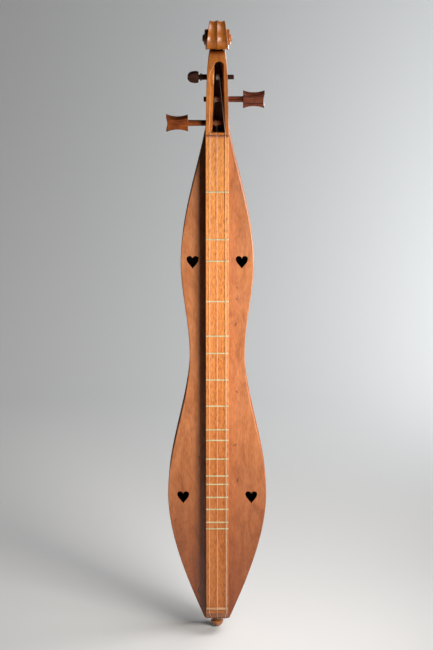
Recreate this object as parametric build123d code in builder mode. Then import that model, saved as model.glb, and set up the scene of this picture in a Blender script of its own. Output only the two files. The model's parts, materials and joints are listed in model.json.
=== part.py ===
from build123d import *
from math import acos, atan2, cos, hypot, pi, sin
import os

# A mountain dulcimer, standing on end as it hangs: X across, Y towards the back, Z from tail to scroll.
# The origin is on the centre line, in the plane of the back's outer face, level with the bridge.
# "Depth" below is the distance in front of the back's outer face, so depth d lies at Y = -d.
# Lengths are in millimetres.

# Strings and playing length
scale_length = 695.0
nut_z = scale_length
head_z = nut_z + 1.0
plain_radius = 0.18
wound_radius = 0.34

# Body
tail_z = -22.0
body_top = head_z + 4.0
plate = 2.8
body_depth = 43.0
overhang = 1.5
rib_thickness = 2.5
rib_inset = overhang + rib_thickness
lining_width = 4.0
lining_depth = 6.0
tail_face = tail_z + overhang
tail_block_top = tail_z + 26.0
heel_bottom = head_z - 56.0
edge_round = 1.1
tail_corner = 4.0
brace_half_width = 6.0

# Half widths of the body with their heights, from the tail to the head
outline = [
    (17.8, tail_z),
    (32.4, 13),
    (52.8, 69),
    (71.4, 171),
    (52.5, 289),
    (39.3, 378),
    (45.5, 449),
    (51.7, 510),
    (46.4, 570),
    (31.4, 638),
    (17.0, body_top),
]

# Sound holes: half spacing and height of each pair
heart_pairs = [(49.5, 166.0), (34.8, 515.0)]
heart_width = 17.3
heart_height = 18.3

# Fretboard, nut and bridge
board_width = 32.3
board_height = 15.0
front_depth = body_depth + board_height
channel_width = 18.0
channel_height = 8.5
board_tail = tail_z + 2.5
board_end = -7.8
# Semitones of each fret above the open string: a plain diatonic scale, set by hand and a little sharp high up
fret_steps = [
    2.03, 4.03, 5.03, 7.08, 9.08, 10.18, 12.03, 14.08, 16.18, 17.22, 19.22, 21.27, 22.38, 24.27, 26.22, 28.62,
    29.97,
]
fret_length = 32.1
fret_width = 1.9
fret_height = 1.0
fret_leg = 0.5
fret_leg_depth = 5.0
nut_thickness = 2.6
nut_right = 15.2
nut_proud = 1.5
bridge_thickness = 2.8
bridge_length = 31.4
bridge_proud = 3.9
bridge_arch = 0.35
bridge_slot = 1.5

# Head
cheek_half = 16.15
throat_half = 10.45
crown_half = 10.65
chin_half = 16.2
turn_half = 17.6
eye_half = 20.5
eye_radius = 4.6
eye_depth = 40.0
eye_z = head_z + 133.2
channel_half = 0.6

# Half widths of the head with their heights above its foot, from the shoulder to the throat
head_flank = [(17.1, 3.0), (cheek_half, 12.0), (15.55, 35.0), (14.4, 80.6), (10.95, 116.0)]

# The slot in the head: half widths at its bottom and near its top, on each side of the centre line
slot_bottom = head_z + 5.2
slot_top = head_z + 103.6
slot_arch = 8.6
slot_arch_x = 0.7
slot_floor_depth = 27.0
front_left = (7.0, 3.8)
front_right = (11.2, 8.6)
floor_left = (6.6, 3.6)
floor_right = (6.0, 4.6)

# The broad bevel along the slot's left edge: half widths at the slot's bottom, shoulder and arch
bevel_depth = 7.0
bevel_shoulder = slot_top - 36.0
bevel_outer = (11.4, 9.6, 7.0)
bevel_inner = (6.9, 5.0, 3.4)

# Pegs
peg_depth = 44.0
peg_fit = 0.05

# End button
button_depth = 21.5
button_shank = 4.0
shank_top = tail_z + 24.0
button_neck = 5.2
button_radius = 9.3
button_rim = tail_z - 9.7

os.makedirs("parts", exist_ok=True)


def write(part, name):
    """Names a finished piece and writes it."""
    part.label = name
    export_step(part, f"parts/{name}.step")


def at_depth(depth):
    """The front-view plane at a depth, facing the player."""
    return Plane.XZ.offset(depth)


def half_body(inset, low=tail_z, high=body_top, mode=Mode.ADD):
    """Adds the right half of the body's outline, its curved edge moved in by inset, between two heights."""
    with BuildSketch(mode=Mode.PRIVATE) as region:
        with BuildLine():
            edge = Spline([(half - inset, height) for half, height in outline])
            Polyline(edge @ 1, (0, body_top), (0, tail_z), edge @ 0)
        make_face()
        with Locations((0, (low + high) / 2)):
            Rectangle(200, high - low, mode=Mode.INTERSECT)
    add(region.sketch, mode=mode)


def tail_corners(outline_sketch):
    """The outer corners at the tail end of a plate's outline."""
    return [corner for corner in outline_sketch.vertices().group_by(Axis.Y)[0] if abs(corner.X) > 1]


# ---------------------------------------------------------------- plates
with BuildPart() as back_plate:
    with BuildSketch(at_depth(0)) as back_outline:
        half_body(0)
        mirror(about=Plane.YZ)
        fillet(tail_corners(back_outline), tail_corner)
    extrude(amount=plate)
    back_rim = back_plate.edges().group_by(Axis.Y)[-1].sort_by(Axis.Z)[:-1]
    fillet(back_rim, edge_round)
write(back_plate.part, "back_plate")


def heart():
    """A heart with its tip towards the tail, centred on its box."""
    lobe = heart_width / 4
    shoulder = heart_height / 2 - lobe
    with BuildSketch(mode=Mode.PRIVATE) as shape:
        with BuildLine():
            top = ThreePointArc((0, shoulder), (lobe, heart_height / 2), (2 * lobe, shoulder))
            Bezier(
                top @ 1,
                (2 * lobe, shoulder - 5.2),
                (3.0, -heart_height / 2 + 4.2),
                (0, -heart_height / 2),
            )
            Line((0, -heart_height / 2), top @ 0)
        make_face()
        mirror(about=Plane.YZ)
    return shape.sketch


for side, name in [(1, "right"), (-1, "left")]:
    with BuildPart() as soundboard:
        with BuildSketch(at_depth(body_depth - plate)) as front_outline:
            half_body(0)
            fillet(tail_corners(front_outline), tail_corner)
        extrude(amount=plate)
        rim = soundboard.edges().group_by(Axis.Y)[0]
        fillet([edge for edge in rim if edge.center().X > 1 and edge.center().Z < body_top - 1], edge_round)
        for half_spacing, height in heart_pairs:
            hole_plane = Plane(
                origin=(half_spacing, -body_depth - 1, height), x_dir=(1, 0, 0), z_dir=(0, -1, 0)
            )
            with BuildSketch(hole_plane):
                add(heart())
            extrude(amount=-plate - 2, mode=Mode.SUBTRACT)
    board = soundboard.part if side > 0 else soundboard.part.mirror(Plane.YZ)
    write(board, f"soundboard_{name}")

# ---------------------------------------------------------------- sides, linings, blocks and braces
for side, name in [(1, "right"), (-1, "left")]:
    with BuildPart() as rib:
        with BuildSketch(at_depth(plate)):
            half_body(overhang, low=tail_face)
            half_body(rib_inset, low=tail_face, mode=Mode.SUBTRACT)
        extrude(amount=body_depth - 2 * plate)
    write(rib.part if side > 0 else rib.part.mirror(Plane.YZ), f"rib_{name}")

    for start, place in [(plate, "back"), (body_depth - plate - lining_depth, "front")]:
        with BuildPart() as lining:
            with BuildSketch(at_depth(start)):
                half_body(rib_inset, tail_block_top, heel_bottom)
                half_body(rib_inset + lining_width, tail_block_top, heel_bottom, Mode.SUBTRACT)
            extrude(amount=lining_depth)
        write(lining.part if side > 0 else lining.part.mirror(Plane.YZ), f"lining_{place}_{name}")

with BuildPart() as tail_block:
    with BuildSketch(at_depth(plate)):
        half_body(rib_inset, tail_face, tail_block_top)
        mirror(about=Plane.YZ)
    extrude(amount=body_depth - 2 * plate)
    with BuildSketch(Plane((0, -button_depth, tail_face), x_dir=(1, 0, 0), z_dir=(0, 0, 1))):
        Circle(button_shank)
    extrude(amount=tail_block_top - tail_face + 1, mode=Mode.SUBTRACT)
write(tail_block.part, "tail_block")


def brace(height, start, thick, name):
    """A flat bar glued across a plate, from lining to lining."""
    with BuildPart() as bar:
        with BuildSketch(at_depth(start)):
            half_body(rib_inset + lining_width + 0.2, height - brace_half_width, height + brace_half_width)
            mirror(about=Plane.YZ)
        extrude(amount=thick)
    write(bar.part, name)


for height, name in [(171, "lower"), (378, "waist"), (510, "upper")]:
    brace(height, plate, 9.0, f"back_brace_{name}")
for height, name in [(268, "lower"), (443, "upper")]:
    brace(height, body_depth - plate - 7.0, 7.0, f"top_brace_{name}")

# ---------------------------------------------------------------- fretboard and frets
fret_heights = [nut_z - scale_length * (1 - 2 ** (-step / 12)) for step in fret_steps]
leg_x = fret_length / 2 - fret_width / 2

with BuildPart() as fretboard:
    with BuildSketch(Plane.YZ):
        with BuildLine():
            Polyline(
                (-body_depth, nut_z),
                (-front_depth, nut_z),
                (-front_depth, board_end),
                (-front_depth + 0.6, board_end - 0.6),
            )
            ThreePointArc(
                (-front_depth + 0.6, board_end - 0.6),
                (-front_depth + 3.4, board_end - 1.3),
                (-front_depth + 5.4, board_end - 2.8),
            )
            Polyline(
                (-front_depth + 5.4, board_end - 2.8),
                (-body_depth - 2.0, board_tail),
                (-body_depth, board_tail),
                (-body_depth, nut_z),
            )
        make_face()
    extrude(amount=board_width / 2, both=True)
    long_edges = fretboard.edges().filter_by(Axis.Z).group_by(Axis.Y)[0]
    fillet(long_edges, 0.6)
    with BuildSketch(at_depth(body_depth)):
        with Locations((0, nut_z / 2)):
            SlotOverall(scale_length - 50, channel_width, rotation=90)
    extrude(amount=channel_height, mode=Mode.SUBTRACT)
    with BuildSketch(at_depth(front_depth)):
        Rectangle(board_width, bridge_thickness)
    extrude(amount=-bridge_slot, mode=Mode.SUBTRACT)
    with BuildSketch(at_depth(front_depth)):
        with Locations([(x, height) for height in fret_heights for x in (-leg_x, leg_x)]):
            Circle(fret_leg)
    extrude(amount=-fret_leg_depth, mode=Mode.SUBTRACT)
write(fretboard.part, "fretboard")

for number, height in enumerate(fret_heights, start=1):
    with BuildPart() as fret:
        with BuildSketch(at_depth(front_depth)):
            with Locations((0, height)):
                Rectangle(fret_length, fret_width)
        extrude(amount=fret_height)
        fillet(fret.faces().sort_by(Axis.Y)[0].edges(), 0.45)
        with BuildSketch(at_depth(front_depth)):
            with Locations((-leg_x, height), (leg_x, height)):
                Circle(fret_leg)
        extrude(amount=-fret_leg_depth)
    write(fret.part, f"fret_{number:02d}")

# ---------------------------------------------------------------- strings: where each one runs
# Each string: name, wire radius, x at the nut, bridge, board end and tail edge, its peg's height,
# where its winding starts and ends along the peg, and its loop's height on the button.
peg_heights = {"upper": head_z + 80.6, "middle": head_z + 49.9, "lower": head_z + 16.9}
strings = {
    "bass": {
        "wire": wound_radius, "across": (11.5, 13.7, 13.5, 11.3, 3.4),
        "peg": "upper", "coil": (-1.8, 3.6), "meets": 3.0, "loop_z": tail_z - 3.0,
    },
    "middle": {
        "wire": plain_radius, "across": (-0.4, 0.4, 0.4, 0.2, -0.3),
        "peg": "lower", "coil": (-3.6, -0.4), "meets": -0.7, "loop_z": tail_z - 4.4,
    },
    "melody": {
        "wire": plain_radius, "across": (-10.1, -11.3, -11.1, -7.2, -3.4),
        "peg": "middle", "coil": (-4.2, -0.6), "meets": -3.5, "loop_z": tail_z - 5.5,
    },
}

# Pegs: which side the head is on, radii at the head and at the far end, and their x
pegs = {
    "upper": {"head": -25.7, "end": 23.1, "thick": 4.05, "thin": 3.25},
    "middle": {"head": 35.8, "end": -18.9, "thick": 4.3, "thin": 3.6},
    "lower": {"head": -40.6, "end": 14.4, "thick": 4.3, "thin": 3.6},
}


def shaft_radius(peg, x):
    """The tapered shaft's radius at x."""
    share = (x - peg["head"]) / (peg["end"] - peg["head"])
    return peg["thick"] + share * (peg["thin"] - peg["thick"])


def peg_plane(name):
    """The front-view plane through a peg's axis, with its origin on the axis."""
    return Plane(origin=(0, -peg_depth, peg_heights[name]), x_dir=(1, 0, 0), z_dir=(0, -1, 0))


def peg_axis(name):
    return Axis((0, -peg_depth, peg_heights[name]), (1, 0, 0))


# ---------------------------------------------------------------- nut and bridge
nut_string_depth = front_depth + nut_proud + 0.05
bridge_string_depth = front_depth + bridge_proud - 0.05
nut_mid_z = nut_z + nut_thickness / 2
nut_bend_z = nut_z + nut_thickness - 0.25
bridge_bend_z = -bridge_thickness / 2 + 0.4
groove_clear = 0.16


def string_grooves(height, length, depth, which):
    """Notches for the three strings, running along Z through height."""
    for string in strings.values():
        with Locations((string["across"][which], -depth, height)):
            Cylinder(string["wire"] + groove_clear, 2 * length, mode=Mode.SUBTRACT)


with BuildPart() as nut:
    with BuildSketch(Plane((0, 0, nut_z), x_dir=(1, 0, 0), z_dir=(0, 0, 1))):
        with Locations(((nut_right - cheek_half) / 2, -(body_depth + front_depth + nut_proud) / 2)):
            Rectangle(nut_right + cheek_half, board_height + nut_proud)
    extrude(amount=nut_thickness)
    fillet(nut.faces().sort_by(Axis.Y)[0].edges().filter_by(Axis.X), 0.5)
    string_grooves(nut_mid_z, nut_thickness, nut_string_depth, 0)
write(nut.part, "nut")

with BuildPart() as bridge:
    foot = front_depth - bridge_slot
    with BuildSketch(Plane.XY):
        with BuildLine():
            Polyline(
                (-bridge_length / 2, -front_depth - bridge_proud + bridge_arch),
                (-bridge_length / 2, -foot),
                (bridge_length / 2, -foot),
                (bridge_length / 2, -front_depth - bridge_proud + bridge_arch),
            )
            ThreePointArc(
                (bridge_length / 2, -front_depth - bridge_proud + bridge_arch),
                (0, -front_depth - bridge_proud),
                (-bridge_length / 2, -front_depth - bridge_proud + bridge_arch),
            )
        make_face()
    extrude(amount=bridge_thickness / 2, both=True)
    fillet(bridge.faces().sort_by(Axis.Y)[0].edges().group_by(Axis.X)[1:-1][0], 0.9)
    string_grooves(0, bridge_thickness, bridge_string_depth, 1)
write(bridge.part, "bridge")

# ---------------------------------------------------------------- head: pegbox, heel and scroll
# Radius of the scroll's spiral at each quarter turn, from its back over the crown and inwards to the eye
turn_radii = [27.0, 24.9, 19.5, 15.4, 13.5, 12.4, 10.8, 8.9, 7.2, 5.6]


def spiral_point(quarters):
    """The scroll's edge after so many quarter turns: 0 at the back, 1 at the crown, 2 at the front."""
    whole = min(int(quarters), len(turn_radii) - 2)
    share = quarters - whole
    radius = turn_radii[whole] ** (1 - share) * turn_radii[whole + 1] ** share
    angle = quarters * pi / 2
    return (-eye_depth + radius * cos(angle), eye_z + radius * sin(angle))


def scroll_turn(first, last, half):
    """A turn of the scroll between two places on the spiral, as thick as 2 * half."""
    steps = 4 * (last - first)
    with BuildSketch(Plane.YZ, mode=Mode.PRIVATE) as face:
        with BuildLine():
            edge = Spline([spiral_point(first + index / 4) for index in range(steps + 1)])
            Line(edge @ 1, edge @ 0)
        make_face()
    return extrude(face.sketch, amount=half, both=True, mode=Mode.PRIVATE)


with BuildPart() as chin:
    add(scroll_turn(1, 5, chin_half))
    with BuildSketch(Plane.XZ):
        with BuildLine():
            right = Polyline(
                (0, eye_z + 30), (crown_half - 0.4, eye_z + 30), (crown_half, eye_z + 24.5),
                (chin_half, eye_z - 15.4), (chin_half, eye_z - 20), (0, eye_z - 20),
            )
            mirror(right, about=Plane.YZ)
        make_face()
    extrude(amount=100, mode=Mode.INTERSECT)

with BuildPart() as bevel:
    for depth, sides, drop in [
        (front_depth + 0.5, bevel_outer, 0), (front_depth - bevel_depth, bevel_inner, 3.0)
    ]:
        with BuildSketch(at_depth(depth)):
            with BuildLine():
                side = Polyline(
                    (slot_arch_x, slot_bottom), (-sides[0], slot_bottom), (-sides[1], bevel_shoulder)
                )
                arch = ThreePointArc(
                    side @ 1, (-sides[2], slot_top - slot_arch - drop), (slot_arch_x, slot_top - drop)
                )
                Line(arch @ 1, side @ 0)
            make_face()
    loft()

with BuildPart() as head:
    with BuildSketch(Plane.YZ):
        with BuildLine():
            edge = Spline([spiral_point(index / 4) for index in range(13)])
            throat = Spline(
                edge @ 1, (-front_depth + 6.0, head_z + 113), (-front_depth, head_z + 103),
                tangents=[(-1, -0.2), (0, -1)],
            )
            Polyline(throat @ 1, (-front_depth, nut_z), (-body_depth, nut_z), (-body_depth, body_top),
                     (0, body_top))
            Spline(
                (0, body_top), (-13.5, head_z + 30), (-17.5, head_z + 72), edge @ 0,
                tangents=[(-0.1, 1), (0, 1)],
            )
        make_face()
    extrude(amount=cheek_half + 2, both=True)
    with BuildSketch(Plane.XZ):
        with BuildLine():
            flank = Spline([(half, head_z + height) for half, height in head_flank])
            right = Polyline(
                flank @ 1, (throat_half, head_z + 122), (crown_half, eye_z + 30), (0, eye_z + 30),
                (0, nut_z - 4), (head_flank[0][0], nut_z - 4), flank @ 0,
            )
        make_face()
        mirror(about=Plane.YZ)
    extrude(amount=100, mode=Mode.INTERSECT)
    # In front of the soundboard the cheeks stay as wide as the fretboard
    with Locations([(side * (cheek_half + 2), -front_depth, body_top - 3) for side in (-1, 1)]):
        Box(4, 2 * board_height, 22, mode=Mode.SUBTRACT)
    add(chin.part)
    add(scroll_turn(5, 9, turn_half))
    with Locations(Location((0, -eye_depth, eye_z), (0, 90, 0))):
        Cylinder(eye_radius, 2 * eye_half)
    with BuildSketch(at_depth(plate)):
        half_body(rib_inset, heel_bottom, body_top)
        mirror(about=Plane.YZ)
    extrude(amount=body_depth - 2 * plate)
    # The slot that the strings wind in: a front opening with splayed walls, and a narrower floor
    with BuildSketch(at_depth(front_depth + 0.5)):
        with BuildLine():
            walls = Polyline(
                (-front_left[1], slot_top - slot_arch), (-front_left[0], slot_bottom),
                (front_right[0], slot_bottom), (front_right[1], slot_top - slot_arch),
            )
            ThreePointArc(walls @ 1, (slot_arch_x, slot_top), walls @ 0)
        make_face()
    with BuildSketch(at_depth(slot_floor_depth)):
        with BuildLine():
            walls = Polyline(
                (-floor_left[1], slot_top - slot_arch - 3), (-floor_left[0], slot_bottom),
                (floor_right[0], slot_bottom), (floor_right[1], slot_top - slot_arch - 3),
            )
            ThreePointArc(walls @ 1, (slot_arch_x, slot_top - 6), walls @ 0)
        make_face()
    loft(mode=Mode.SUBTRACT)
    add(bevel.part, mode=Mode.SUBTRACT)
    # The middle string comes down steeply, so it has a channel through the block below the slot
    with BuildSketch(Plane.YZ.offset(strings["middle"]["across"][0] - channel_half)):
        with BuildLine():
            Polyline(
                (-front_depth - 1, nut_z), (-front_depth - 1, slot_bottom + 1),
                (-front_depth + 2.8, slot_bottom + 1), (-front_depth, nut_z + nut_thickness),
                (-front_depth, nut_z), (-front_depth - 1, nut_z),
            )
        make_face()
    extrude(amount=2 * channel_half, mode=Mode.SUBTRACT)
    # Room for the nut
    with Locations(((nut_right - cheek_half - 2) / 2, -front_depth, nut_mid_z)):
        Box(nut_right + cheek_half + 2, 2 * board_height, nut_thickness, mode=Mode.SUBTRACT)
    for name, peg in pegs.items():
        with BuildSketch(peg_plane(name)):
            with BuildLine():
                Polyline(
                    (-19, 0), (-19, shaft_radius(peg, -19) + peg_fit),
                    (19, shaft_radius(peg, 19) + peg_fit), (19, 0), (-19, 0),
                )
            make_face()
        revolve(axis=peg_axis(name), mode=Mode.SUBTRACT)
write(head.part, "head")

# ---------------------------------------------------------------- tuning pegs
wing_tilt = 18.0
wing_thickness = 12.0
end_dish = 2.0


def winged_peg(name, inner, outer, inner_half, outer_half, waist_half):
    """A whittled peg whose flat head is drawn in on its two long sides and on its outer end."""
    peg = pegs[name]
    way = 1 if outer > inner else -1
    middle = (inner + outer) / 2
    with BuildPart() as piece:
        with BuildSketch(peg_plane(name)):
            with BuildLine():
                Polyline(
                    (inner, 0), (inner, peg["thick"]), (peg["end"], peg["thin"]), (peg["end"], 0), (inner, 0)
                )
            make_face()
        revolve(axis=peg_axis(name))
        with BuildSketch(peg_plane(name).rotated((wing_tilt, 0, 0))):
            with BuildLine():
                Line((inner, -inner_half), (inner, inner_half))
                ThreePointArc((inner, inner_half), (middle, waist_half), (outer, outer_half))
                ThreePointArc((outer, outer_half), (outer - end_dish * way, 0), (outer, -outer_half))
                ThreePointArc((outer, -outer_half), (middle, -waist_half), (inner, -inner_half))
            make_face()
        extrude(amount=wing_thickness / 2, both=True)
    return piece.part


middle_peg = winged_peg("middle", 35.8, 66.0, inner_half=11.2, outer_half=11.4, waist_half=7.9)
write(middle_peg, "tuning_peg_middle")
lower_peg = winged_peg("lower", -40.6, -71.2, inner_half=10.6, outer_half=11.4, waist_half=7.5)
write(lower_peg, "tuning_peg_lower")

peg = pegs["upper"]
with BuildPart() as violin_peg:
    with BuildSketch(peg_plane("upper")):
        with BuildLine():
            Polyline((-26.6, 0), (-26.6, 4.4), (-25.4, 3.5), (-24.3, 3.3))
            ThreePointArc((-24.3, 3.3), (-23.6, 4.1), (-23.2, 5.5))
            Polyline(
                (-23.2, 5.5), (-22.2, 5.5), (-21.2, shaft_radius(peg, -21.2)),
                (peg["end"], peg["thin"]), (peg["end"], 0), (-26.6, 0),
            )
        make_face()
    revolve(axis=peg_axis("upper"))
    head_plane = peg_plane("upper").rotated((wing_tilt, 0, 0))
    with BuildSketch(head_plane):
        with BuildLine():
            lobe = Line((-25.7, 0), (-25.7, 6.2))
            Bezier(lobe @ 1, (-27.0, 8.0), (-33.0, 7.8), (-36.5, 6.3))
            Bezier((-36.5, 6.3), (-39.6, 4.9), (-41.1, 2.4), (-41.1, 0))
            Line((-41.1, 0), lobe @ 0)
        make_face()
        mirror(about=Plane.XZ)
    extrude(amount=4.2, both=True)
write(violin_peg.part, "tuning_peg_upper")

# ---------------------------------------------------------------- end button
with BuildPart() as end_button:
    with BuildSketch(Plane.YZ):
        with BuildLine():
            Polyline(
                (0, shank_top), (button_shank, shank_top), (button_shank, tail_face), (6.6, tail_face),
                (6.6, tail_z + 0.1), (button_neck, tail_z - 1.1), (button_neck, button_rim + 1.6),
            )
            rim = (button_radius, button_rim - 0.8)
            Polyline((button_neck, button_rim + 1.6), (6.0, button_rim + 0.5), (8.6, button_rim), rim)
            dome = CenterArc((0, button_rim - 0.8), button_radius, 270, 90)
            Line(dome @ 0, (0, shank_top))
        make_face()
    revolve(axis=Axis.Z)
write(end_button.part.moved(Location((0, -button_depth, 0))), "end_button")

# ---------------------------------------------------------------- strings and their windings
neck_clear = 0.03
coil_clear = 0.05

for name, string in strings.items():
    wire = string["wire"]
    peg = pegs[string["peg"]]
    centre_z = peg_heights[string["peg"]]
    first, last = string["coil"]
    with BuildPart() as coil:
        with BuildSketch(peg_plane(string["peg"])):
            with BuildLine():
                Polyline(
                    (first, shaft_radius(peg, first)), (first, shaft_radius(peg, first) + 2 * wire),
                    (last, shaft_radius(peg, last) + 2 * wire), (last, shaft_radius(peg, last)),
                    (first, shaft_radius(peg, first)),
                )
            make_face()
        revolve(axis=peg_axis(string["peg"]))
    write(coil.part, f"winding_{name}")

    # The run leaves the winding's front, where a line from the nut touches it
    reach = max(shaft_radius(peg, first), shaft_radius(peg, last)) + 3 * wire + coil_clear
    away = hypot(nut_string_depth - peg_depth, nut_bend_z - centre_z)
    leave = atan2(nut_bend_z - centre_z, nut_string_depth - peg_depth) + acos(reach / away)
    nut_x, bridge_x, end_x, tail_x, loop_x = string["across"]
    neck_reach = button_neck + wire + neck_clear
    route = [
        (string["meets"], -(peg_depth + reach * cos(leave)), centre_z + reach * sin(leave)),
        (nut_x, -nut_string_depth, nut_bend_z),
        (bridge_x, -bridge_string_depth, bridge_bend_z),
        (end_x, -front_depth - wire - 0.6, board_end + 0.2),
        (tail_x, -body_depth - wire - 0.35, tail_z - 0.35 - wire),
        (loop_x, -button_depth - (neck_reach**2 - loop_x**2) ** 0.5, string["loop_z"]),
    ]
    with BuildPart() as run:
        with BuildLine():
            path = FilletPolyline(route, radius=[1.5, 1.5, 3.0, 2.0])
        with BuildSketch(Plane(path @ 0, z_dir=path % 0)):
            Circle(wire)
        sweep(transition=Transition.RIGHT)
        with Locations((0, -button_depth, string["loop_z"])):
            Torus(neck_reach, wire)
    write(run.part, f"string_{name}")
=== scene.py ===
import json
import math

import bmesh
import bpy
import numpy as np
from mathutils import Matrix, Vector
from mathutils.bvhtree import BVHTree


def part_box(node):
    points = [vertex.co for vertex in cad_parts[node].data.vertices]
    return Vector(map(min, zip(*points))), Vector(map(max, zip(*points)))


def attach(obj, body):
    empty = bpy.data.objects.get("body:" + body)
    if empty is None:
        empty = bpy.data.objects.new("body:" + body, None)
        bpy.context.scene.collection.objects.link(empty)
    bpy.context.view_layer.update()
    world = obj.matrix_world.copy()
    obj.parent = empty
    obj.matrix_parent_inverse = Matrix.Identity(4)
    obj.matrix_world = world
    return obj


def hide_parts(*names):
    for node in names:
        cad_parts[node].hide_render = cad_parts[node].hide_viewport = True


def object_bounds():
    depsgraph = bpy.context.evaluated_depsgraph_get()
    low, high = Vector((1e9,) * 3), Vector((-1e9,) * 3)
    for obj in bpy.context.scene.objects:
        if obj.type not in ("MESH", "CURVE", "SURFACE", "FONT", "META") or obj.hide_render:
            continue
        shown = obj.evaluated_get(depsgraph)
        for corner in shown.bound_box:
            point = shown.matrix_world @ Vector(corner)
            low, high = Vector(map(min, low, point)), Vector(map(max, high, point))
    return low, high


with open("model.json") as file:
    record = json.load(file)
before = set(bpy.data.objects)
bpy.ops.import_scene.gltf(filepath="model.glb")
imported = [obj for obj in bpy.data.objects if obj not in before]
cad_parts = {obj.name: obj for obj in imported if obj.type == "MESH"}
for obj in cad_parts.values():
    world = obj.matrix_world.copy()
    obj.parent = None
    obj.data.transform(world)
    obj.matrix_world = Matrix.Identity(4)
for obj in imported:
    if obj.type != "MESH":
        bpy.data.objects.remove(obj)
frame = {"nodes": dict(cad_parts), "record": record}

low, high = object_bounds()

MM = 0.001
ROOM_GREY = (0.4, 0.41, 0.42)
node_box = {name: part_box(name) for name in frame["nodes"]}
NUT_Z = node_box["nut"][0].z
PEG_STRING = {"upper": "bass", "middle": "melody", "lower": "middle"}


def peg_centre(peg):
    """The middle of a peg's winding, which lies on the peg's axis."""
    box_low, box_high = node_box["winding_" + PEG_STRING[peg]]
    return (box_low + box_high) / 2


# ---------------------------------------------------------------- camera, stage and lights
def aim(obj, target):
    """Turns a camera or a light to look at a point."""
    way = Vector(target) - obj.location
    obj.rotation_euler = way.to_track_quat("-Z", "Y").to_euler()


def build_camera():
    """Far in front and a little above the middle of the fretboard, looking down at it."""
    board_low, board_high = node_box["fretboard"]
    look_at = Vector((-0.001, board_low.y, board_high.z - 0.2675))
    distance, pitch = 2.8, math.radians(13.6)
    cam = bpy.data.cameras.new("camera")
    cam.sensor_fit = "AUTO"
    cam.sensor_width = 36
    cam.lens = 109.5
    obj = bpy.data.objects.new("camera", cam)
    bpy.context.scene.collection.objects.link(obj)
    obj.location = look_at + Vector((0, -distance * math.cos(pitch), distance * math.sin(pitch)))
    aim(obj, look_at)
    bpy.context.scene.camera = obj


def add_area(name, where, target, size, power, spread, colour=(1, 1, 1)):
    """A rectangular light, turned to a target: size in metres, power in watts, spread in degrees."""
    light = bpy.data.lights.new(name, "AREA")
    light.energy = power
    light.color = colour
    light.shape = "RECTANGLE"
    light.size, light.size_y = size
    light.spread = math.radians(spread)
    obj = bpy.data.objects.new(name, light)
    bpy.context.scene.collection.objects.link(obj)
    obj.location = where
    obj.visible_camera = False
    aim(obj, target)


def build_stage():
    """A pale floor under the button that sweeps up into a grey backdrop far behind.
    Far off it is dark paper that shows an even glow to the camera alone, so that it throws little light back
    but still looks pale. Its back is clear, so that the object can be seen from behind it."""
    floor_z = low.z - 1 * MM
    steps = 40
    width, front, back, height, bend = 6.0, -6.0, 2.4, 5.0, 1.2
    pale_centre_y, pale_reach, dark_reach = 0.9, 1.8, 2.6
    path = [(front, floor_z)]
    for i in range(steps + 1):
        a = math.pi / 2 * i / steps
        path.append((back - bend + bend * math.sin(a), floor_z + bend - bend * math.cos(a)))
    path.append((back, floor_z + height))
    verts = [(x, y, z) for y, z in path for x in (-width, width)]
    faces = [(2 * i, 2 * i + 1, 2 * i + 3, 2 * i + 2) for i in range(len(path) - 1)]
    mesh = bpy.data.meshes.new("studio_sweep")
    mesh.from_pydata(verts, [], faces)
    mesh.polygons.foreach_set("use_smooth", [True] * len(faces))
    obj = bpy.data.objects.new("studio_sweep", mesh)
    bpy.context.scene.collection.objects.link(obj)
    graph = Graph("studio_paper")
    distance = graph.nodes.new("ShaderNodeVectorMath")
    distance.operation = "LENGTH"
    graph.links.new(graph.place((1, 1, 1), (0, -pale_centre_y, 0)), distance.inputs[0])
    far = graph.spread(distance.outputs["Value"], pale_reach, dark_reach)
    graph.feed(graph.shader.inputs["Base Color"], graph.mix(far, (0.8, 0.8, 0.8), (0.1, 0.1, 0.1)))
    graph.shader.inputs["Roughness"].default_value = 0.9
    seen = graph.nodes.new("ShaderNodeLightPath")
    graph.shader.inputs["Emission Color"].default_value = (*ROOM_GREY, 1)
    graph.feed(graph.shader.inputs["Emission Strength"],
               graph.maths("MULTIPLY", far, seen.outputs["Is Camera Ray"]))
    clear = graph.nodes.new("ShaderNodeBsdfTransparent")
    sides = graph.nodes.new("ShaderNodeMixShader")
    geometry = graph.nodes.new("ShaderNodeNewGeometry")
    graph.links.new(geometry.outputs["Backfacing"], sides.inputs["Fac"])
    graph.links.new(graph.shader.outputs["BSDF"], sides.inputs[1])
    graph.links.new(clear.outputs["BSDF"], sides.inputs[2])
    graph.links.new(sides.outputs["Shader"], graph.nodes["Material Output"].inputs["Surface"])
    mesh.materials.append(graph.material)


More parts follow.
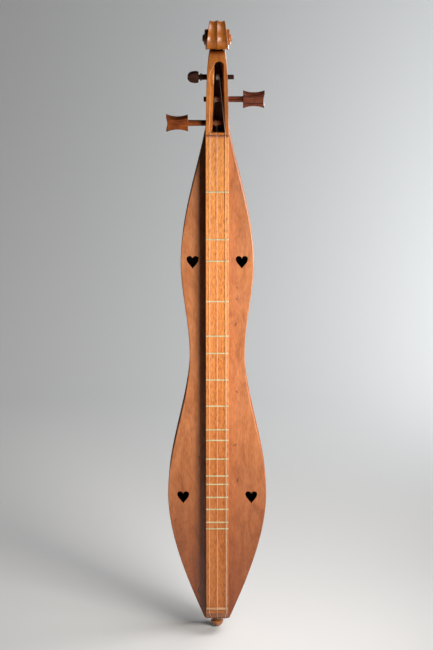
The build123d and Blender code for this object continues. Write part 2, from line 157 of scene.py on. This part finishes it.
def build_lights():
    """A key light from the right, three fill lights, and a room that only the camera sees as grey."""
    world = bpy.data.worlds.new("studio")
    bpy.context.scene.world = world
    world.use_nodes = True
    nodes, links = world.node_tree.nodes, world.node_tree.links
    dim = nodes["Background"]
    dim.inputs["Color"].default_value = (0.85, 0.92, 1.0, 1)
    dim.inputs["Strength"].default_value = 0.004
    room = nodes.new("ShaderNodeBackground")
    room.inputs["Color"].default_value = (*ROOM_GREY, 1)
    seen = nodes.new("ShaderNodeLightPath")
    either = nodes.new("ShaderNodeMixShader")
    links.new(seen.outputs["Is Camera Ray"], either.inputs["Fac"])
    links.new(dim.outputs["Background"], either.inputs[1])
    links.new(room.outputs["Background"], either.inputs[2])
    links.new(either.outputs["Shader"], nodes["World Output"].inputs["Surface"])
    bpy.context.scene.view_settings.view_transform = "Standard"
    add_area("key", (0.585, -0.73, 0.48), (0, -0.05, 0.38), (0.44, 0.34), 4.15, 85, (1, 0.96, 0.9))
    add_area("backdrop", (1.3, 1.1, 0.75), (0.55, 2.0, 0.25), (0.6, 0.6), 15, 160, (0.95, 0.98, 1))
    add_area("rear", (0.9, 1.5, 0.75), (0, 0, 0.5), (0.6, 0.6), 1.2, 36)
    add_area("floor", (1.15, -0.15, 1.9), (0.1, 0.15, -0.04), (1.5, 1.5), 10.5, 95)


# ---------------------------------------------------------------- materials
class Graph:
    """A material's node tree, with short calls for the nodes that the finishes share."""

    def __init__(self, name):
        self.material = bpy.data.materials.new(name)
        self.material.use_nodes = True
        self.nodes = self.material.node_tree.nodes
        self.links = self.material.node_tree.links
        self.shader = self.nodes["Principled BSDF"]

    def feed(self, socket, value):
        """Sets a socket to a number or a colour, or links another node's output to it."""
        if isinstance(value, bpy.types.NodeSocket):
            self.links.new(value, socket)
        elif isinstance(value, tuple) and socket.type == "RGBA":
            socket.default_value = (*value[:3], 1)
        else:
            socket.default_value = value

    def place(self, scale, shift=(0.0, 0.0, 0.0)):
        """The object's own coordinates, times scale on each axis, and moved by shift."""
        coords = self.nodes.new("ShaderNodeTexCoord")
        mapping = self.nodes.new("ShaderNodeMapping")
        mapping.inputs["Scale"].default_value = scale
        mapping.inputs["Location"].default_value = shift
        self.links.new(coords.outputs["Object"], mapping.inputs["Vector"])
        return mapping.outputs["Vector"]

    def noise(self, scale, detail, distortion, shift=0.0):
        node = self.nodes.new("ShaderNodeTexNoise")
        node.inputs["Scale"].default_value = 1
        node.inputs["Detail"].default_value = detail
        node.inputs["Distortion"].default_value = distortion
        self.links.new(self.place(scale, (shift, 2 * shift, 3 * shift)), node.inputs["Vector"])
        return node.outputs["Fac"]

    def along(self, axis, start, end):
        """From 0 at one place along an axis of the object to 1 at another."""
        coords = self.nodes.new("ShaderNodeTexCoord")
        split = self.nodes.new("ShaderNodeSeparateXYZ")
        self.links.new(coords.outputs["Object"], split.inputs["Vector"])
        return self.spread(split.outputs[axis], start, end)

    def spread(self, value, start, end, low_value=0.0, high_value=1.0):
        node = self.nodes.new("ShaderNodeMapRange")
        for name, number in (("Value", value), ("From Min", start), ("From Max", end),
                             ("To Min", low_value), ("To Max", high_value)):
            self.feed(node.inputs[name], number)
        return node.outputs["Result"]

    def maths(self, operation, first, second):
        node = self.nodes.new("ShaderNodeMath")
        node.operation = operation
        self.feed(node.inputs[0], first)
        self.feed(node.inputs[1], second)
        return node.outputs["Value"]

    def ramp(self, value, stops):
        """A colour for each place between 0 and 1, blended between the stops."""
        node = self.nodes.new("ShaderNodeValToRGB")
        elements = node.color_ramp.elements
        while len(elements) < len(stops):
            elements.new(0.5)
        for element, (place, colour) in zip(elements, stops):
            element.position = place
            element.color = (*colour, 1)
        self.feed(node.inputs["Fac"], value)
        return node.outputs["Color"]

    def mix(self, share, first, second, blend="MIX"):
        node = self.nodes.new("ShaderNodeMix")
        node.data_type = "RGBA"
        node.blend_type = blend
        self.feed(node.inputs[0], share)
        self.feed(node.inputs[6], first)
        self.feed(node.inputs[7], second)
        return node.outputs[2]

    def edges(self, radius):
        """Near 1 along worn outer edges, and 0 on flat faces."""
        bevel = self.nodes.new("ShaderNodeBevel")
        bevel.samples = 4
        bevel.inputs["Radius"].default_value = radius
        geometry = self.nodes.new("ShaderNodeNewGeometry")
        dot = self.nodes.new("ShaderNodeVectorMath")
        dot.operation = "DOT_PRODUCT"
        self.links.new(bevel.outputs["Normal"], dot.inputs[0])
        self.links.new(geometry.outputs["Normal"], dot.inputs[1])
        return self.spread(dot.outputs["Value"], 0.995, 0.9)

    def painted_shade_inside(self):
        """1 where the surface is shut in all round, and 0 where it is open to the room: how much painted
        shade a place gets.
        """
        node = self.nodes.new("ShaderNodeAmbientOcclusion")
        node.samples = 4
        node.inputs["Distance"].default_value = 0.12
        return self.spread(node.outputs["AO"], 0.3, 0.12)

    def bump(self, height, distance, strength):
        node = self.nodes.new("ShaderNodeBump")
        node.inputs["Distance"].default_value = distance
        node.inputs["Strength"].default_value = strength
        self.links.new(height, node.inputs["Height"])
        self.links.new(node.outputs["Normal"], self.shader.inputs["Normal"])


def scaled(colour, factor):
    return tuple(channel * factor for channel in colour)


def wood(name, dark, middle, light, along="Z", figure=0.3, flecks=0.3, pores=0.5, rough=(0.32, 0.5),
         coat=0.25, shift=0.0, tone_and_shade_by_height=None, worn=1.3, contrast=1.0, specular=0.45, marks=0.0, band=130):
    """Grained wood: wide bands, fine fibres, a wavy figure, short flecks, dark pores and lighter worn edges.
    along is the grain's axis, band the bands' scale across it, and shift moves the pattern from wood to wood.
    figure, flecks, pores and marks are how strongly each of them shows, and worn is how light the edges are.
    The argument of two heights and a colour factor (height, height, colour factor) changes the wood evenly
    between the two heights: partly the wood's own tone, partly painted shade that darkens it towards the
    bottom.
    Closed-in places, such as the inside of the box, get painted shade: their colour is darkened nearly to
    black."""
    graph = Graph(name)

    def grain(across, length, detail, distortion, offset):
        scale = tuple(length if axis == along else across for axis in "XYZ")
        return graph.noise(scale, detail, distortion, shift + offset)

    bands = grain(band, 2.6, 4, 0.6, 0)
    fibres = grain(1100, 16, 3, 0.0, 3)
    wavy = grain(42, 15, 3, 2.2, 7)
    fleck = grain(620, 150, 2, 0.4, 5)
    pore_field = grain(980, 120, 2, 0.0, 11)
    plain = 1 - figure - flecks
    tone = graph.maths("MULTIPLY", bands, plain * 0.6)
    for field, weight in ((fibres, plain * 0.4), (wavy, figure), (fleck, flecks)):
        tone = graph.maths("ADD", tone, graph.maths("MULTIPLY", field, weight))
    reach = 0.13 / contrast
    colour = graph.ramp(tone, [(0.5 - reach, dark), (0.5, middle), (0.5 + reach, light)])
    # partly the wood's own tone and partly painted shade: the colour changes evenly between two heights,
    # darker towards the lower one
    if tone_and_shade_by_height:
        start, end, factor = tone_and_shade_by_height
        share = graph.along("Z", start, end)
        colour = graph.mix(share, colour, graph.mix(1.0, colour, factor, "MULTIPLY"))
    pore = graph.spread(pore_field, 0.60, 0.70, 0.0, pores)
    colour = graph.mix(pore, colour, scaled(dark, 0.3))
    edge = graph.maths("MULTIPLY", graph.edges(0.6 * MM), graph.spread(wavy, 0.35, 0.65, 0.05, 0.45))
    colour = graph.mix(edge, colour, tuple(min(1.0, channel * worn) for channel in light))
    # painted shade: shut-in places, such as the inside of the box, are darkened nearly to black
    colour = graph.mix(graph.painted_shade_inside(), colour, scaled(dark, 0.08))
    if marks:
        spots = graph.noise((95, 95, 80), 1, 0.6, shift + 23)
        colour = graph.mix(graph.spread(spots, 0.735, 0.77, 0.0, marks), colour, scaled(dark, 0.25))
    graph.feed(graph.shader.inputs["Base Color"], colour)
    graph.shader.inputs["Specular IOR Level"].default_value = specular
    patches = graph.noise((55, 55, 30), 3, 0.5, shift + 17)
    graph.feed(graph.shader.inputs["Roughness"], graph.spread(patches, 0.3, 0.7, *rough))
    graph.shader.inputs["Coat Weight"].default_value = coat
    graph.shader.inputs["Coat Roughness"].default_value = 0.22
    relief = graph.maths("SUBTRACT", graph.maths("MULTIPLY", fibres, 0.5), pore)
    graph.bump(relief, 0.12 * MM, 0.5)
    return graph.material


def metal(name, colour, tarnish, rough, metallic, wrap=None, pegbox_darkening=None):
    """Bare metal with tarnish and fine marks. wrap is the pitch of a winding round a straight wire, and
    the last argument the colour factor that darkens it above the nut, in the pegbox."""
    graph = Graph(name)
    marks = graph.noise((900, 900, 260), 4, 0.3)
    blotches = graph.noise((160, 160, 90), 3, 0.8, 5.0)
    shade = graph.mix(graph.spread(blotches, 0.42, 0.72, 0.0, 0.7), colour, tarnish)
    if wrap:
        turns = graph.nodes.new("ShaderNodeTexWave")
        turns.bands_direction = "Z"
        turns.inputs["Scale"].default_value = 1
        graph.links.new(graph.place((0, 0, 0.31 / wrap)), turns.inputs["Vector"])
        # painted shade in the grooves between the winding's turns: dark bands along the wire
        shade = graph.mix(graph.spread(turns.outputs["Fac"], 0, 0.5, 0.25, 0.0), shade, scaled(colour, 0.4))
        graph.bump(turns.outputs["Fac"], 0.02 * MM, 0.5)
    else:
        graph.bump(marks, 0.02 * MM, 0.4)
    # the string is made darker above the nut, in the pegbox
    if pegbox_darkening:
        shade = graph.mix(graph.along("Z", NUT_Z + 3 * MM, NUT_Z + 8 * MM), shade,
                          graph.mix(1.0, shade, pegbox_darkening, "MULTIPLY"))
    graph.feed(graph.shader.inputs["Base Color"], shade)
    graph.shader.inputs["Metallic"].default_value = metallic
    graph.feed(graph.shader.inputs["Roughness"], graph.spread(marks, 0.3, 0.7, *rough))
    return graph.material


def build_materials():
    """One finish for each of the record's material slots."""
    return {
        # walnut_body and fretboard_wood darken towards the bottom: partly their own tone, partly painted
        # shade
        "walnut_body": wood("walnut_body", (0.275, 0.088, 0.028), (0.38, 0.131, 0.044), (0.465, 0.174, 0.064),
                            figure=0.42, pores=0.3, marks=0.7, worn=1.05,
                            tone_and_shade_by_height=(NUT_Z - 0.42, NUT_Z - 0.68, (0.58, 0.42, 0.3))),
        "walnut_head": wood("walnut_head", (0.28, 0.074, 0.012), (0.48, 0.145, 0.023), (0.62, 0.22, 0.04),
                            figure=0.35, flecks=0.25, pores=0.4, shift=20.0, rough=(0.27, 0.42), coat=0.0,
                            specular=0.6),
        "fretboard_wood": wood("fretboard_wood", (0.43, 0.125, 0.022), (0.64, 0.23, 0.049),
                               (0.76, 0.32, 0.08), figure=0.12, flecks=0.5, pores=0.75, shift=40.0,
                               rough=(0.4, 0.55), coat=0.1,
                               tone_and_shade_by_height=(NUT_Z - 0.1, NUT_Z - 0.5, (0.66, 0.55, 0.5))),
        "inner_wood": wood("inner_wood", (0.38, 0.22, 0.11), (0.52, 0.34, 0.19), (0.64, 0.46, 0.28),
                           pores=0.3, rough=(0.6, 0.8), coat=0.0, shift=60.0),
        "dark_wood": wood("dark_wood", (0.17, 0.05, 0.024), (0.27, 0.085, 0.042), (0.36, 0.125, 0.06),
                          along="X", shift=80.0, rough=(0.35, 0.5)),
        "pale_wood": wood("pale_wood", (0.34, 0.16, 0.075), (0.48, 0.25, 0.125), (0.6, 0.36, 0.2),
                          along="X", pores=0.25, shift=100.0),
        "turned_wood": wood("turned_wood", (0.26, 0.08, 0.018), (0.48, 0.165, 0.04), (0.62, 0.26, 0.075),
                            figure=0.4, pores=0.35, shift=120.0, coat=0.4),
        "peg_dark": wood("peg_dark", (0.012, 0.0035, 0.0018), (0.03, 0.009, 0.004), (0.07, 0.02, 0.009),
                         along="X", shift=140.0, rough=(0.35, 0.5), coat=0.0, worn=1.0, specular=0.2),
        "peg_rosewood": wood("peg_rosewood", (0.024, 0.005, 0.003), (0.115, 0.026, 0.011),
                             (0.24, 0.062, 0.03), along="X", figure=0.08, flecks=0.15, pores=0.9,
                             shift=160.0, rough=(0.16, 0.26), coat=0.0, worn=1.0, specular=0.5, band=430,
                             contrast=1.3),
        "peg_brown": wood("peg_brown", (0.06, 0.012, 0.002), (0.21, 0.046, 0.008), (0.37, 0.1, 0.018),
                          along="X", pores=0.9, shift=180.0, rough=(0.35, 0.5), coat=0.0, worn=1.0,
                          specular=0.2),
        "brass_wire": metal("brass_wire", (0.56, 0.52, 0.31), (0.38, 0.34, 0.17), rough=(0.4, 0.5),
                            metallic=0.3),
        "plain_string": metal("plain_string", (0.74, 0.66, 0.62), (0.6, 0.5, 0.45), rough=(0.42, 0.55),
                              metallic=0.35, pegbox_darkening=(0.35, 0.26, 0.2)),
        "wound_string": metal("wound_string", (0.6, 0.53, 0.48), (0.48, 0.4, 0.35), rough=(0.42, 0.55),
                              metallic=0.45, wrap=0.28 * MM, pegbox_darkening=(0.7, 0.68, 0.66)),
    }


# ---------------------------------------------------------------- pieces
def slot_of(node):
    """The record's material slot of a node."""
    for part in frame["record"]["subparts"]:
        if part["node"] == node:
            return part["material_slot"]
    raise KeyError(node)


def add_piece(name, mesh, body, node, finishes):
    """Adds a mesh that stands for a CAD node, in the finish of that node's slot."""
    obj = bpy.data.objects.new(name, mesh)
    bpy.context.scene.collection.objects.link(obj)
    mesh.polygons.foreach_set("use_smooth", [True] * len(mesh.polygons))
    mesh.materials.clear()
    mesh.materials.append(finishes[slot_of(node)])
    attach(obj, body)
    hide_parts(node)


def loft(rings):
    """Points and faces of a closed solid through rings of equally many points, capped at both ends."""
    count = len(rings[0])
    verts = [point for ring in rings for point in ring]
    faces = []
    for k in range(len(rings) - 1):
        for i in range(count):
            j = (i + 1) % count
            faces.append((k * count + i, k * count + j, (k + 1) * count + j, (k + 1) * count + i))
    faces.append(tuple(reversed(range(count))))
    faces.append(tuple(range((len(rings) - 1) * count, len(rings) * count)))
    return verts, faces


def modified(obj, kind, **settings):
    """The mesh that a modifier makes of an object, as a mesh of its own."""
    modifier = obj.modifiers.new("change", kind)
    for name, value in settings.items():
        setattr(modifier, name, value)
    view = bpy.context.evaluated_depsgraph_get()
    mesh = bpy.data.meshes.new_from_object(obj.evaluated_get(view))
    obj.modifiers.remove(modifier)
    return mesh


def remeshed(mesh, voxel, smoothing):
    """One even skin round a mesh's overlapping solids, with its edges softened."""
    obj = bpy.data.objects.new("remesh", mesh)
    bpy.context.scene.collection.objects.link(obj)
    obj.data = modified(obj, "REMESH", mode="VOXEL", voxel_size=voxel)
    obj.data = modified(obj, "SMOOTH", factor=0.5, iterations=smoothing)
    result = obj.data
    bpy.data.objects.remove(obj)
    return result


def cad_copy(node):
    """A CAD node's mesh in a bmesh, with its doubled points joined."""
    bm = bmesh.new()
    bm.from_mesh(frame["nodes"][node].data)
    bmesh.ops.remove_doubles(bm, verts=bm.verts, dist=0.002 * MM)
    return bm


def points_of(mesh):
    points = np.empty(len(mesh.vertices) * 3)
    mesh.vertices.foreach_get("co", points)
    return points.reshape(-1, 3)


def set_points(mesh, points):
    mesh.vertices.foreach_set("co", points.ravel())
    mesh.update()


SHAFT_REACH = 5.2 * MM  # past a peg's shaft and its hole
PEGBOX_REACH = 19 * MM  # past the pegbox's sides, short of the pegs' heads


def snap_to_shafts(mesh, node, pegs, gap):
    """Puts points near the pegs' axes back on the CAD node's surface, then off the axis by gap."""
    bm = cad_copy(node)
    surface = BVHTree.FromBMesh(bm)
    bm.free()
    points = points_of(mesh)
    for peg in pegs:
        axis = peg_centre(peg)
        away = np.hypot(points[:, 1] - axis.y, points[:, 2] - axis.z)
        for i in np.nonzero((away < SHAFT_REACH) & (np.abs(points[:, 0]) < PEGBOX_REACH))[0]:
            place = surface.find_nearest(Vector(points[i]))[0]
            out = Vector((0, place.y - axis.y, place.z - axis.z))
            points[i] = place + out.normalized() * gap
    set_points(mesh, points)


# ---------------------------------------------------------------- the carved head
# In millimetres, apart from the quarter turns and EYE_Z.
# The scroll at each quarter turn, from its back to the eye: its radius, and half its width
TURN_RADIUS = [27.0, 24.9, 19.5, 15.4, 13.5, 12.4, 10.8, 8.9, 7.2, 5.6, 4.6]
TURN_HALF = [10.5, 10.65, 14.2, 16.2, 16.9, 17.5, 18.0, 18.5, 19.1, 19.7, 20.0]
PAST_THE_END = [3.5, 2.5, 2.0]  # the radius inside the last turns
FIRST_QUARTER, LAST_QUARTER, QUARTER_STEP = -0.9, 9.9, 0.1
FOOT_DROP, FOOT_INNER = 25.0, 11.0  # the foot's end below the eye, and its inner side's distance from the eye
FLUTE_DEPTH = 2.0
THROAT_DROP = 17.2  # from the eye down to the throat, where the scroll takes over from the pegbox
EYE_DEPTH = 40.0
EYE_RADIUS = 4.6
EYE_PROFILE = [(-20.5, 3.0), (-20.2, 4.0), (-19.6, EYE_RADIUS), (19.6, EYE_RADIUS), (20.2, 4.0), (20.5, 3.0)]
EYE_Z = node_box["head"][1].z - TURN_RADIUS[1] * MM


def along_turns(values, quarters):
    """A value between the quarter turns it is given at."""
    return float(np.interp(quarters, range(len(values)), values))


def scroll_ring(quarters):
    """The scroll's section at a place on its spiral: fluted outside, with slightly hollow sides.
    Before the spiral's start the section stands on the neck's straight back."""
    angle = quarters * math.pi / 2
    radius = along_turns(TURN_RADIUS, max(quarters, 0))
    half = along_turns(TURN_HALF, max(quarters, 0))
    inner = max(along_turns(TURN_RADIUS + PAST_THE_END, quarters + 4) - 1.5, 1.0)
    if quarters < 0:
        radius = min(radius / math.cos(angle), FOOT_DROP / max(math.sin(-angle), 0.01))
        inner = FOOT_INNER
    flute = FLUTE_DEPTH * np.interp(quarters, [-0.6, 0.0, 2.6, 3.2], [0, 1, 1, 0])
    outer_edge = [(x, radius - flute * abs(math.sin(math.pi * x / half)) ** 0.85)
                  for x in np.linspace(0, half - 0.7, 9)]
    side = [(half - 0.9 * math.sin(math.pi * s) - 0.3 * s, radius - 0.8 - (radius - 0.8 - inner) * s)
            for s in np.linspace(0, 1, 6)]
    right = outer_edge + side
    left = [(-x, rho) for x, rho in reversed(right[1:])]
    eye = Vector((0, -EYE_DEPTH * MM, EYE_Z))
    return [
        (x * MM, eye.y + rho * math.cos(angle) * MM, eye.z + rho * math.sin(angle) * MM)
        for x, rho in right + left
    ]


def eye_ring(x, radius):
    return [
        (x * MM, (-EYE_DEPTH + radius * math.cos(a)) * MM, EYE_Z + radius * math.sin(a) * MM)
        for a in np.linspace(0, 2 * math.pi, 33)[:-1]
    ]


def carved_head(finishes):
    """The pegbox of the CAD head with a fluted scroll in place of its plain one."""
    bm = cad_copy("head")
    cut = bmesh.ops.bisect_plane(bm, geom=bm.verts[:] + bm.edges[:] + bm.faces[:],
                                 plane_co=(0, 0, EYE_Z - THROAT_DROP * MM), plane_no=(0, 0, 1),
                                 clear_outer=True)
    rim = [edge for edge in cut["geom_cut"] if isinstance(edge, bmesh.types.BMEdge)]
    bmesh.ops.contextual_create(bm, geom=rim)
    mesh = bpy.data.meshes.new("carved_head")
    bm.to_mesh(mesh)
    bm.free()

    turns = [scroll_ring(q) for q in np.arange(FIRST_QUARTER, LAST_QUARTER + QUARTER_STEP / 2, QUARTER_STEP)]
    eye = [eye_ring(x, radius) for x, radius in EYE_PROFILE]
    bm = bmesh.new()
    bm.from_mesh(mesh)
    for rings in (turns, eye):
        solid = bpy.data.meshes.new("solid")
        verts, faces = loft(rings)
        solid.from_pydata(verts, [], faces)
        bm.from_mesh(solid)
    bmesh.ops.recalc_face_normals(bm, faces=bm.faces[:])
    bm.to_mesh(mesh)
    bm.free()
    skin = remeshed(mesh, voxel=0.5 * MM, smoothing=4)
    snap_to_shafts(skin, "head", PEG_STRING, gap=0.08 * MM)
    add_piece("carved_head", skin, "root", "head", finishes)


# ---------------------------------------------------------------- pegs and windings
BASS_WIRE, PLAIN_WIRE = 0.34 * MM, 0.18 * MM  # half of each string's thickness
COIL_STEPS = 24  # round a turn
WIRE_SIDES = 8
WIRE_SLACK = 0.995  # keeps the wire just inside the CAD winding


def whittled_peg(peg, finishes):
    """The CAD peg with its corners softened by the knife and by use."""
    node = "tuning_peg_" + peg
    bm = cad_copy(node)
    mesh = bpy.data.meshes.new(node)
    bm.to_mesh(mesh)
    bm.free()
    skin = remeshed(mesh, voxel=0.4 * MM, smoothing=5)
    snap_to_shafts(skin, node, [peg], gap=-0.04 * MM)
    add_piece("whittled_peg_" + peg, skin, "peg_" + peg, node, finishes)


def coil(peg, wire, finishes):
    """The string's turns side by side round its peg. wire is half the string's thickness."""
    name = PEG_STRING[peg]
    node = "winding_" + name
    box_low, box_high = node_box[node]
    centre = peg_centre(peg)
    reach = (box_high.z - box_low.z) / 2 - wire
    length = box_high.x - box_low.x - 2 * wire
    least_pitch = 2.04 * wire
    turns = max(1, int(length / least_pitch))
    steps = turns * COIL_STEPS
    rings = []
    for step in range(steps + 1):
        a = 2 * math.pi * step / COIL_STEPS
        out = Vector((0, math.cos(a), math.sin(a)))
        middle = Vector((box_low.x + wire + length * step / steps, centre.y, centre.z)) + out * reach
        rings.append([middle + (out * math.cos(b) + Vector((1, 0, 0)) * math.sin(b)) * wire * WIRE_SLACK
                      for b in np.linspace(0, 2 * math.pi, WIRE_SIDES + 1)[:-1]])
    verts, faces = loft(rings)
    mesh = bpy.data.meshes.new("coil_" + name)
    mesh.from_pydata(verts, [], faces)
    add_piece("coil_" + name, mesh, "peg_" + peg, node, finishes)


finishes = build_materials()
for name, obj in frame["nodes"].items():
    obj.data.materials.clear()
    obj.data.materials.append(finishes[slot_of(name)])
build_camera()
build_stage()
build_lights()
carved_head(finishes)
for peg in PEG_STRING:
    whittled_peg(peg, finishes)
for peg, wire in (("upper", BASS_WIRE), ("lower", PLAIN_WIRE), ("middle", PLAIN_WIRE)):
    coil(peg, wire, finishes)
